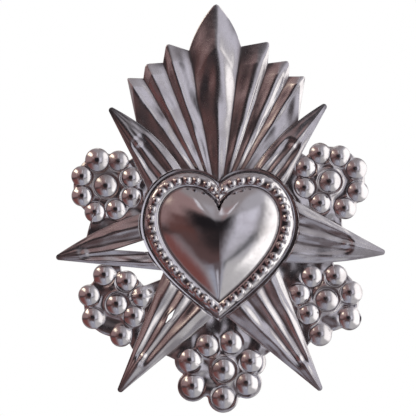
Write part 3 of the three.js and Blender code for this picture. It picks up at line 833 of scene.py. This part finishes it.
class TIN_OT_rays(bpy.types.Operator):
    """Fold the six rays, two of which are slit along the middle ridge"""

    bl_idname = "tin.rays"
    bl_label = "Rays"

    columns = 90
    rows = 90
    tab_rows = 4
    tab_gap = 0.02 * MM  # from the last row of the folds to the first of the tab
    # Painted shadow on the flat tabs, which lie under the heart.
    tab_tarnish = 0.6

    def press(self, name, ray, first, last, sizes):
        """Presses the strip of a ray between two places across it."""
        rows = self.rows + self.tab_rows
        side = -1 if last <= 0.5 else 1

        def die(across, along):
            across = mix(first, last, across)
            row = round(along * rows)
            if row <= self.rows:
                place, height, dark = ray.place(across, row / self.rows, side)
                return front(place, sizes.ray_front + height), dark
            step = (row - self.rows - 1) / (self.tab_rows - 1)
            place = ray.tab(across, mix(self.tab_gap, sizes.tab, step), side)
            return front(place, sizes.ray_front), self.tab_tarnish

        columns = round(self.columns * (last - first))
        return press_sheet(name, columns, rows, die, sizes.sheet)

    def execute(self, context):
        sizes = context.scene.fold_sizes
        for name, ray in make_rays(context).items():
            if ray.slit:
                piece = self.press("folded_" + name, ray, 0, 0.5, sizes)
                self.press("half", ray, 0.5, 1, sizes)
                piece.select_set(True)
                context.view_layer.objects.active = piece
                bpy.ops.object.join()
            else:
                piece = self.press("folded_" + name, ray, 0, 1, sizes)
            finish_piece(piece, ORNAMENT, "folded_tin", finish("folded_tin"), name)
        return {"FINISHED"}


class TIN_OT_flame(bpy.types.Operator):
    """Pleat the flame above the heart's cleft"""

    bl_idname = "tin.flame"
    bl_label = "Flame"

    face = 14  # columns between two folds
    rows = 110
    root_rows = 5
    fold_rounding = 0.1  # share of a face
    waves_across = 1.5  # on a face
    waves_along = 5
    seed = 3

    def execute(self, context):
        sizes = context.scene.fold_sizes
        heart = context.scene.heart_sizes
        rays = make_rays(context)
        skirt = rays["ray_upper_left"].skirt
        focus = Vector((0, heart.cleft_z))
        last = len(FLAME_FOLDS) - 1
        spear = last // 2
        columns = self.face * (last + 2)
        feet = [distance_to(skirt, focus, polar(90 - lean, 1)) for lean, _ in FLAME_FOLDS]
        shoulders = {}
        for ridge in range(0, last + 1, 2):
            shoulders[ridge] = min(FLAME_FOLDS[i][1] for i in (ridge - 1, ridge + 1) if 0 <= i <= last)
        edges = {0: (rays["ray_upper_left"], 0), last: (rays["ray_upper_right"], 1)}

        def on_fold(index, distance):
            return polar(90 - FLAME_FOLDS[index][0], distance) + focus

        def ridge_height(ridge, along):
            rise = sizes.spear_rise if ridge == spear else sizes.pleat_rise
            reach = FLAME_FOLDS[ridge][1]
            distance = mix(feet[ridge], reach, along)
            turn = shoulders[ridge]
            if distance < turn:
                return rise * distance / turn
            return rise * mix(1, sizes.ridge_tip, (distance - turn) / (reach - turn))

        def edge_end(ridge, side):
            """Where the edge beside a ridge's tip ends: at the next notch, or at the ray beside the flame."""
            if 0 <= ridge + side <= last:
                return on_fold(ridge + side, FLAME_FOLDS[ridge + side][1])
            ray, across = edges[ridge]
            return ray.under(across, sizes.flame_hem)

        def on_edge(ridge, side, distance):
            """A place on the flame's cut edge, at a distance from a ridge's sharp tip."""
            if distance < 0:
                return on_edge(ridge, -side, -distance)
            tip = on_fold(ridge, FLAME_FOLDS[ridge][1])
            along = edge_end(ridge, side) - tip
            part = distance / along.length
            outwards = Vector((-along.y, along.x)).normalized() * side
            bulge = sizes.spear_bulge * 4 * part * (1 - part) if ridge == spear else 0
            return tip + along * part + outwards * bulge

        def rim(ridge, side, part):
            """The same with the tip worn blunt, at a share of the way to the next notch."""
            distance = part * (edge_end(ridge, side) - on_fold(ridge, FLAME_FOLDS[ridge][1])).length
            steps = [on_edge(ridge, side, distance + step / 3 * sizes.blunt) for step in range(-3, 4)]
            return sum(steps, Vector((0, 0))) / len(steps)

        def hem(fold, part, along):
            """A place between the outermost ridge at 0 and the edge under the ray beside it at 1."""
            ray, across = edges[fold]
            tip = rim(fold, 1 if fold == 0 else -1, 0)
            ridge = on_fold(fold, feet[fold]).lerp(tip, along)
            turn = (shoulders[fold] - feet[fold]) / (FLAME_FOLDS[fold][1] - feet[fold])
            if along < turn:
                edge = ray.under(across, sizes.flame_hem * along / turn)
            else:
                edge = ray.under(across, sizes.flame_hem).lerp(tip, (along - turn) / (1 - turn))
            return ridge.lerp(edge, part)

        def fold_shape(part, crease):
            return (1 + part) / (1 + crease) if part < crease else (1 - part) / (1 - crease)

        def on_face(across, along):
            """Place, height and darkening (tarnish, with painted shade in the valleys and under the heart),
            across the folds and from the heart at 0 to the rim at 1.
            """
            nearest = clamp(round(across / 2) * 2, 0, last)
            part = across - nearest
            crease = -sizes.crease_shift if nearest > spear else 0
            shape = max(0, rounded(lambda value: fold_shape(value, crease), part, self.fold_rounding))
            waves = wavy(across * self.waves_across, along * self.waves_along, self.seed)
            height = ridge_height(nearest, along) * (shape + sizes.waves * waves)
            # 0.1 is tarnish all over; the rest is painted shade in the valleys and painted shadow near the
            # root under the heart.
            dark = 0.1 + 0.4 * smooth(0.75, 1, abs(part)) + 0.25 * smooth(0.15, 0, along)
            if across < 0 or across > last:
                return hem(nearest, abs(part), along), height, dark
            side = 1 if part > 0 or nearest == 0 else -1
            beside = nearest + side
            foot = on_fold(nearest, feet[nearest]).lerp(on_fold(beside, feet[beside]), abs(part))
            return foot.lerp(rim(nearest, side, abs(part)), along), height, dark

        def die(across, along):
            across = across * (last + 2) - 1
            row = round(along * (self.rows + self.root_rows)) - self.root_rows
            place, height, dark = on_face(across, max(0, row) / self.rows)
            if row < 0:
                part = -row / self.root_rows
                place = place + (focus - place).normalized() * sizes.flame_root * part
                height *= 1 - part
            return front(place, sizes.flower_front + height), dark

        piece = press_sheet("pleated_flame", columns, self.rows + self.root_rows, die, sizes.sheet)
        finish_piece(piece, ORNAMENT, "folded_tin", finish("folded_tin"), "flame_crown")
        return {"FINISHED"}


class Flower:
    """The domes and the outline of one flower, which are read from its node."""

    peak_height = 0.76  # points above this share of the tallest dome are the tops of domes
    dome_foot = 1.03  # points of the face farther out than this share of a dome's radius are the outline
    face_play = 0.01 * MM
    crown_blunt = 0.2  # share of a dome's radius in which its top is rounded
    dent_height = 0.6 * MM
    dents_per_metre = 190
    seed = 7

    def __init__(self, node, sizes):
        self.sizes = sizes
        vertices = frame["nodes"][node].data.vertices
        points = {(round(v.co.x, 6), round(-v.co.y, 6), round(v.co.z, 6)) for v in vertices}
        face = sizes.flower_front
        top = max(depth for _, depth, _ in points) - face
        peaks = [point for point in points if point[1] > face + self.peak_height * top]
        domes = [(Vector((x, z)), (depth - face) / sizes.dome_bulge) for x, depth, z in peaks]
        centre = sum((at for at, _ in domes), Vector((0, 0))) / len(domes)
        self.domes = sorted(domes, key=lambda dome: (dome[0] - centre).length)
        self.middle = self.domes[0][0]
        outline = []
        for x, depth, z in points:
            place = Vector((x, z))
            clear = all((place - at).length > self.dome_foot * radius for at, radius in self.domes)
            if clear and abs(depth - face) < self.face_play:
                away = place - self.middle
                outline.append((math.atan2(away.y, away.x), away.length))
        self.outline = sorted(outline)
        self.bearings = [bearing for bearing, _ in self.outline]

    def reach(self, bearing):
        """From the middle dome out to the outline."""
        j = bisect.bisect(self.bearings, bearing) % len(self.outline)
        (first, near), (second, far) = self.outline[j - 1], self.outline[j]
        span = (second - first) % FULL_TURN
        return mix(near, far, ((bearing - first) % FULL_TURN) / span)

    def relief(self, place, margin):
        """Height and darkening of a place that lies some margin inside the outline: a little tarnish, a
        darker flat sheet, and painted shade in the crevices round crowded domes.
        """
        sizes = self.sizes
        blunt = self.crown_blunt ** 4
        dome = 0
        crowded = 0
        nearest = 2
        for at, radius in self.domes:
            out = (place - at).length / (radius * sizes.dome_spread)
            dome = max(dome, sizes.dome_bulge * radius * (1 - (out ** 4 + blunt) ** 0.4))
            crowded += math.exp(-2.5 * max(0, out - 0.9))
            nearest = min(nearest, out)
        flat = smooth(0.9, 1.1, nearest)
        web = sizes.web_rise * smooth(0.8, 1.5, crowded) * smooth(0.88, 1.15, nearest)
        web *= smooth(0, 2 * sizes.flower_rim, margin)
        dents = wavy(place.x * self.dents_per_metre, place.y * self.dents_per_metre, self.seed)
        web += self.dent_height * dents * smooth(0.9, 1.2, nearest)
        curl = sizes.rim_drop * (1 - clamp(margin / sizes.flower_rim)) ** 2 * flat
        # Painted shade in the crevices between crowded domes; the flat sheet is also left darker and duller
        # than the domes.
        crevice_shade = smooth(0.92, 1.0, nearest) * smooth(1.3, 1.1, nearest) * smooth(1.2, 1.8, crowded)
        return dome + web - curl, 0.04 + 0.16 * flat + 0.4 * crevice_shade


class TIN_OT_flowers(bpy.types.Operator):
    """Punch the domes of the five flowers"""

    bl_idname = "tin.flowers"
    bl_label = "Flowers"

    columns = 300
    rows = 72

    def execute(self, context):
        sizes = context.scene.fold_sizes
        for name in FLOWERS:
            flower = Flower(name, sizes)

            def die(across, along):
                bearing = (across - 0.5) * FULL_TURN
                away = Vector((math.cos(bearing), math.sin(bearing))) * flower.reach(bearing) * (1 - along)
                place = flower.middle + away
                margin = away.length * (1 / (1 - along) - 1) if along < 1 else sizes.flower_rim
                height, dark = flower.relief(place, margin)
                return front(place, sizes.flower_front + height), dark

            piece = press_sheet("punched_" + name, self.columns, self.rows, die, sizes.sheet)
            finish_piece(piece, ORNAMENT, "folded_tin", finish("domed_tin"), name)
        return {"FINISHED"}


class TIN_OT_solder(bpy.types.Operator):
    """Model one lumpy drop of solder and copy it to every joint"""

    bl_idname = "tin.solder"
    bl_label = "Solder"

    crease = math.radians(50)  # the drop shows a sharper bend than this as an edge
    turn = 2.4  # radians from one drop to the next, so that they look different
    size = 0.9  # middle size of the lumpy drop, within a radius of 1
    lump_size = 0.16
    lump_rise = 0.3
    foot_spread = 0.12
    foot_rise = 0.35

    def drop(self):
        """A drop of radius and rise 1 that swells backwards from a flat face."""
        bpy.ops.object.select_all(action="DESELECT")
        bpy.ops.mesh.primitive_uv_sphere_add(segments=40, ring_count=24, radius=1)
        piece = bpy.context.object
        bpy.ops.transform.rotate(value=math.pi / 2, orient_axis="X", center_override=(0, 0, 0))
        bpy.ops.object.transform_apply(location=False, rotation=True, scale=False)
        for vertex in piece.data.vertices:
            lump = self.size + self.lump_size * noise.noise(vertex.co * 1.7)
            foot = 1 + self.foot_spread * smooth(self.foot_rise, 0, abs(vertex.co.y))
            vertex.co.x *= lump * foot
            vertex.co.z *= lump * foot
            vertex.co.y = max(0, vertex.co.y) * (self.size + self.lump_rise * noise.noise(vertex.co * 2.3))
        bpy.ops.object.shade_smooth_by_angle(angle=self.crease)
        return piece

    def execute(self, context):
        first = self.drop()
        joints = [name for name in frame["nodes"] if name.startswith("solder")]
        for number, name in enumerate(joints):
            low, high = (Vector(corner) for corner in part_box(name))
            piece = copied(first, "drop_" + name)
            bpy.ops.transform.rotate(value=self.turn * number, orient_axis="Y", center_override=(0, 0, 0))
            bpy.ops.object.transform_apply(location=False, rotation=True, scale=False)
            size = high - low
            middle = (low + high) / 2
            bpy.ops.transform.resize(value=(size.x / 2, size.y, size.z / 2), center_override=(0, 0, 0))
            bpy.ops.transform.translate(value=(middle.x, low.y, middle.z))
            bpy.ops.object.transform_apply(location=True, rotation=False, scale=True)
            finish_piece(piece, ORNAMENT, "solder", finish("solder"), name)
        bpy.data.objects.remove(first)
        return {"FINISHED"}


class TIN_OT_hanger(bpy.types.Operator):
    """Bend the ring of wire and the strap that holds it"""

    bl_idname = "tin.hanger"
    bl_label = "Hanger"

    arc_steps = 40
    strap_columns = 12
    strap_rows = 120
    bend_steps = 12
    knuckle_steps = 30
    knuckle_start = math.radians(30)  # the knuckle's round part starts this far up from the strap's plane
    bend_lean = 0.6  # how far the bend's handle lies from the foot's plane towards the axis

    def ring(self, sizes):
        """The wire's route, from one end round the bow to the other."""
        side = sizes.ring_width / 2
        corner = sizes.ring_corner
        low = side - sizes.ring_height

        def arc(middle, radius, start, end):
            turns = [mix(start, end, i / self.arc_steps) for i in range(self.arc_steps + 1)]
            return [Vector(middle) + polar(turn, radius) for turn in turns]

        route = [Vector((sizes.ring_gap / 2, 0)), Vector((side - 2 * corner, 0))]
        route += arc((side - corner, -corner), corner, 90, 0)
        route += arc((0, low), side, 0, -180)
        route += arc((corner - side, -corner), corner, 180, 90)
        route += [Vector((2 * corner - side, 0)), Vector((-sizes.ring_gap / 2, 0))]
        curve = bpy.data.curves.new("bent_ring", "CURVE")
        curve.dimensions = "3D"
        curve.bevel_depth = sizes.wire / 2
        curve.bevel_resolution = 6
        curve.use_fill_caps = True
        line = curve.splines.new("POLY")
        line.points.add(len(route) - 1)
        for point, place in zip(line.points, route):
            point.co = (place.x, sizes.axis_y, place.y + sizes.axis_z, 1)
        ring = bpy.data.objects.new("bent_ring", curve)
        bpy.context.scene.collection.objects.link(ring)
        pick(ring)
        bpy.ops.object.convert(target="MESH")
        bpy.ops.object.shade_smooth_by_angle(angle=CUT_CREASE)
        return bpy.context.object

    def strap(self, sizes, sheet, seam):
        """A strip with a flat foot, a knuckle round the wire and a lip."""
        bend = sizes.wire / 2 + sizes.play + sheet / 2
        knuckle = bend + sheet / 2
        flat = seam + sheet / 2
        axis = sizes.axis_y

        def on_knuckle(turn):
            return Vector((bend * math.cos(turn), axis + bend * math.sin(turn)))

        start = self.knuckle_start
        end = math.pi - start
        lean = mix(flat, axis, self.bend_lean)
        top = Vector((knuckle + sizes.strap_foot, flat))
        heel = Vector((knuckle + sheet, flat))
        toe = Vector((-heel.x, flat))
        lip = Vector((-knuckle - sizes.strap_lip, flat))
        route = [top, heel]
        route += cubic(heel, Vector((bend, flat)), Vector((bend, lean)), on_knuckle(start), self.bend_steps)
        for i in range(1, self.knuckle_steps + 1):
            route.append(on_knuckle(mix(start, end, i / self.knuckle_steps)))
        route += cubic(route[-1], Vector((-bend, lean)), Vector((-bend, flat)), toe, self.bend_steps)
        route = spaced(route + [lip], self.strap_rows)
        piece = flat_grid("bent_strap", self.strap_columns, self.strap_rows)
        for vertex in piece.data.vertices:
            place = route[round((vertex.co.y + 0.5) * self.strap_rows)]
            vertex.co = (vertex.co.x * sizes.strap_width, place.y, place.x + sizes.axis_z)
        solid = piece.modifiers.new("solid", "SOLIDIFY")
        solid.thickness = sheet
        solid.offset = 0
        bpy.ops.object.modifier_apply(modifier=solid.name)
        round_edges(piece, sizes.edge)
        return piece

    def execute(self, context):
        sizes = context.scene.hanger_sizes
        sheet = context.scene.fold_sizes.sheet
        seam = sizes.axis_y - sizes.wire / 2
        ring = self.ring(sizes)
        finish_piece(ring, HANGER, "wire", finish("wire"), "hanger_ring")
        strap = self.strap(sizes, sheet, seam)
        finish_piece(strap, ORNAMENT, "plain_tin", finish("plain_tin"), "hanger_strap")
        return {"FINISHED"}


class TIN_OT_plate(bpy.types.Operator):
    """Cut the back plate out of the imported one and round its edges"""

    bl_idname = "tin.plate"
    bl_label = "Back plate"

    def execute(self, context):
        piece = copied(frame["nodes"]["back_plate"], "cut_plate")
        edit_all(
            (bpy.ops.mesh.remove_doubles, {"threshold": WELD}),
            (bpy.ops.mesh.dissolve_limited, {"angle_limit": math.radians(1)}),
        )
        round_edges(piece, context.scene.hanger_sizes.edge)
        finish_piece(piece, ORNAMENT, "plain_tin", finish("plain_tin"), "back_plate")
        return {"FINISHED"}


class TIN_OT_stage(bpy.types.Operator):
    """Set the camera, the floor and the light tent"""

    bl_idname = "tin.stage"
    bl_label = "Stage"

    def tent(self, settings):
        """A round tent: dark round the camera, a white window on the right and brown on the left."""
        bpy.ops.object.select_all(action="DESELECT")
        bpy.ops.mesh.primitive_uv_sphere_add(segments=64, ring_count=32, radius=settings.surround)
        tent = named("light_tent")
        material, nodes = new_material("tent")
        place = nodes.node("ShaderNodeTexCoord").outputs["Object"]
        unit = nodes.node("ShaderNodeVectorMath", {"operation": "NORMALIZE"}, i0=place)
        split = nodes.node("ShaderNodeSeparateXYZ", None, i0=unit.outputs[0])
        x, y, z = (nodes.level(split, i) for i in range(3))
        turn = x.math("ARCTAN2", x, 0 - y) * math.degrees(1)
        lift = z.math("ARCSINE", z) * math.degrees(1)

        def window(value, low, high, soft):
            return value.between(low - soft, low + soft) * (1 - value.between(high - soft, high + soft))

        def patch(left, right, low, high, soft, tilt=0):
            return window(turn, left, right, soft) * window(lift - turn * tilt, low, high, soft)

        shade = nodes.blend(lift.between(-50, 60), (0.36, 0.37, 0.44), (0.3, 0.27, 0.28))
        # A patch's left and right sides, in degrees to the right of the camera, its lower and upper edges, in
        # degrees up, half of the width of its soft edges, its climb to the right if it has one, and its
        # colour. A later patch covers the earlier ones.
        patches = (
            # Behind the part
            (1 - turn.between(-110, -90), (0.3, 0.26, 0.26)),
            (turn.between(115, 135), (0.3, 0.26, 0.26)),
            ((1 - turn.between(-150, -120)) * lift.between(-10, 40), (0.95, 0.92, 0.9)),
            (turn.between(120, 150) * (1 - lift.between(-40, 0)), (0.12, 0.1, 0.1)),
            # Brown room and lamp on the left
            (patch(-100, -10, -8, 60, 8), (0.31, 0.205, 0.205)),
            (patch(-100, -40, -75, -9, 5), (0.34, 0.32, 0.35)),
            (patch(-100, -54, -75, -9, 12), (0.19, 0.068, 0.062)),
            (patch(-96, -36, -17, -7, 5), (0.05, 0.034, 0.034)),
            (patch(-84, -58, 28, 42, 4), (2.6, 2.25, 1.8)),
            # Below and above the camera
            (patch(-50, 12, -38, -5, 8), (0.1, 0.06, 0.06)),
            (patch(-20, 10, -50, -34, 6), (0.1, 0.075, 0.08)),
            (patch(-58, -30, -14, -1, 4), (0.12, 0.055, 0.05)),
            (patch(-54, -34, -4, 12, 5), (0.13, 0.065, 0.062)),
            (patch(-14, -4, 42, 62, 4), (0.75, 0.74, 0.8)),
            (patch(-14, -3, -60, -43, 4), (0.62, 0.62, 0.7)),
            (patch(-24, 9, -16, 8, 9), (0.03, 0.022, 0.023)),
            # Pale wall and window on the right
            (patch(16, 130, -75, 62, 11), (0.43, 0.42, 0.46)),
            (patch(19, 46, -14, 26, 6), (0.68, 0.67, 0.76)),
            (patch(44, 54, -20, 30, 4), (0.3, 0.29, 0.31)),
            (patch(16, 75, -50, -41, 4, 0.6), (0.12, 0.12, 0.13)),
            (patch(25, 112, -75, -30, 7), (0.52, 0.51, 0.52)),
            (patch(54, 112, -40, 50, 6), (1.4, 1.37, 1.36)),
            # Dark round the camera
            (patch(-36, 14, -7, 28, 9), (0.014, 0.012, 0.014)),
        )
        for amount, rgb in patches:
            shade = nodes.blend(amount, shade, rgb)
        nodes.show(nodes.node("ShaderNodeEmission", None, Color=shade))
        tent.data.materials.append(material)
        tent.visible_camera = False
        tent.visible_shadow = False
        tent.location = (0, 0, settings.camera_z)
        return tent

    def floor(self, settings):
        """A pale floor that the camera sees as white."""
        bpy.ops.object.select_all(action="DESELECT")
        bpy.ops.mesh.primitive_plane_add(size=settings.floor_size, location=(0, 0, settings.floor_z))
        floor = named("floor")
        material, nodes = new_material("pale_floor")
        path = nodes.node("ShaderNodeLightPath")
        seen = nodes.level(path, "Is Camera Ray") + nodes.level(path, "Is Glossy Ray")
        seen = (seen + nodes.level(path, "Is Transmission Ray")).clamped()
        pale = nodes.node("ShaderNodeBsdfDiffuse", None, Color=(0.8, 0.8, 0.8, 1))
        white = nodes.node("ShaderNodeEmission", None, Color=(1, 1, 1, 1))
        mixed = nodes.node("ShaderNodeMixShader", None, i0=seen, i1=pale.outputs[0], i2=white.outputs[0])
        nodes.show(mixed)
        floor.data.materials.append(material)
        return floor

    def execute(self, context):
        settings = context.scene.stage_settings
        camera_data = bpy.data.cameras.new("camera")
        camera_data.lens = camera_data.sensor_width * settings.distance / settings.view_width
        camera = bpy.data.objects.new("camera", camera_data)
        context.scene.collection.objects.link(camera)
        camera.location = (settings.camera_x, -settings.distance, settings.camera_z)
        camera.rotation_euler = (math.radians(90), 0, 0)
        context.scene.camera = camera
        context.scene.view_settings.view_transform = "Standard"
        world = bpy.data.worlds.new("white")
        world.use_nodes = True
        world.node_tree.nodes["Background"].inputs[0].default_value = (1, 1, 1, 1)
        context.scene.world = world
        self.tent(settings)
        self.floor(settings)
        return {"FINISHED"}


class TIN_PT_panel(bpy.types.Panel):
    """Lists the sizes and the pieces"""

    bl_label = "Tin Heart"
    bl_idname = "TIN_PT_panel"
    bl_space_type = "VIEW_3D"
    bl_region_type = "UI"
    bl_category = "Tin Heart"

    def draw(self, context):
        for operator in OPERATORS:
            self.layout.operator(operator.bl_idname)
        for group in GROUPS:
            box = self.layout.box()
            settings = getattr(context.scene, group)
            for key in settings.__annotations__:
                box.prop(settings, key)


GROUPS = {
    "heart_sizes": HeartSizes,
    "fold_sizes": FoldSizes,
    "hanger_sizes": HangerSizes,
    "finishes": Finishes,
    "stage_settings": StageSettings,
}
OPERATORS = (
    TIN_OT_stage,
    TIN_OT_heart,
    TIN_OT_rays,
    TIN_OT_flame,
    TIN_OT_flowers,
    TIN_OT_plate,
    TIN_OT_solder,
    TIN_OT_hanger,
)
CLASSES = (*GROUPS.values(), *OPERATORS, TIN_PT_panel)


def register():
    for cls in CLASSES:
        bpy.utils.register_class(cls)
    for name, group in GROUPS.items():
        setattr(bpy.types.Scene, name, PointerProperty(type=group))


def unregister():
    for name in GROUPS:
        delattr(bpy.types.Scene, name)
    for cls in reversed(CLASSES):
        bpy.utils.unregister_class(cls)


def main():
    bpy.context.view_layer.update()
    register()
    bpy.ops.tin.stage()
    bpy.ops.tin.heart()
    bpy.ops.tin.rays()
    bpy.ops.tin.flame()
    bpy.ops.tin.flowers()
    bpy.ops.tin.plate()
    bpy.ops.tin.solder()
    bpy.ops.tin.hanger()


if __name__ == "__main__":
    main()
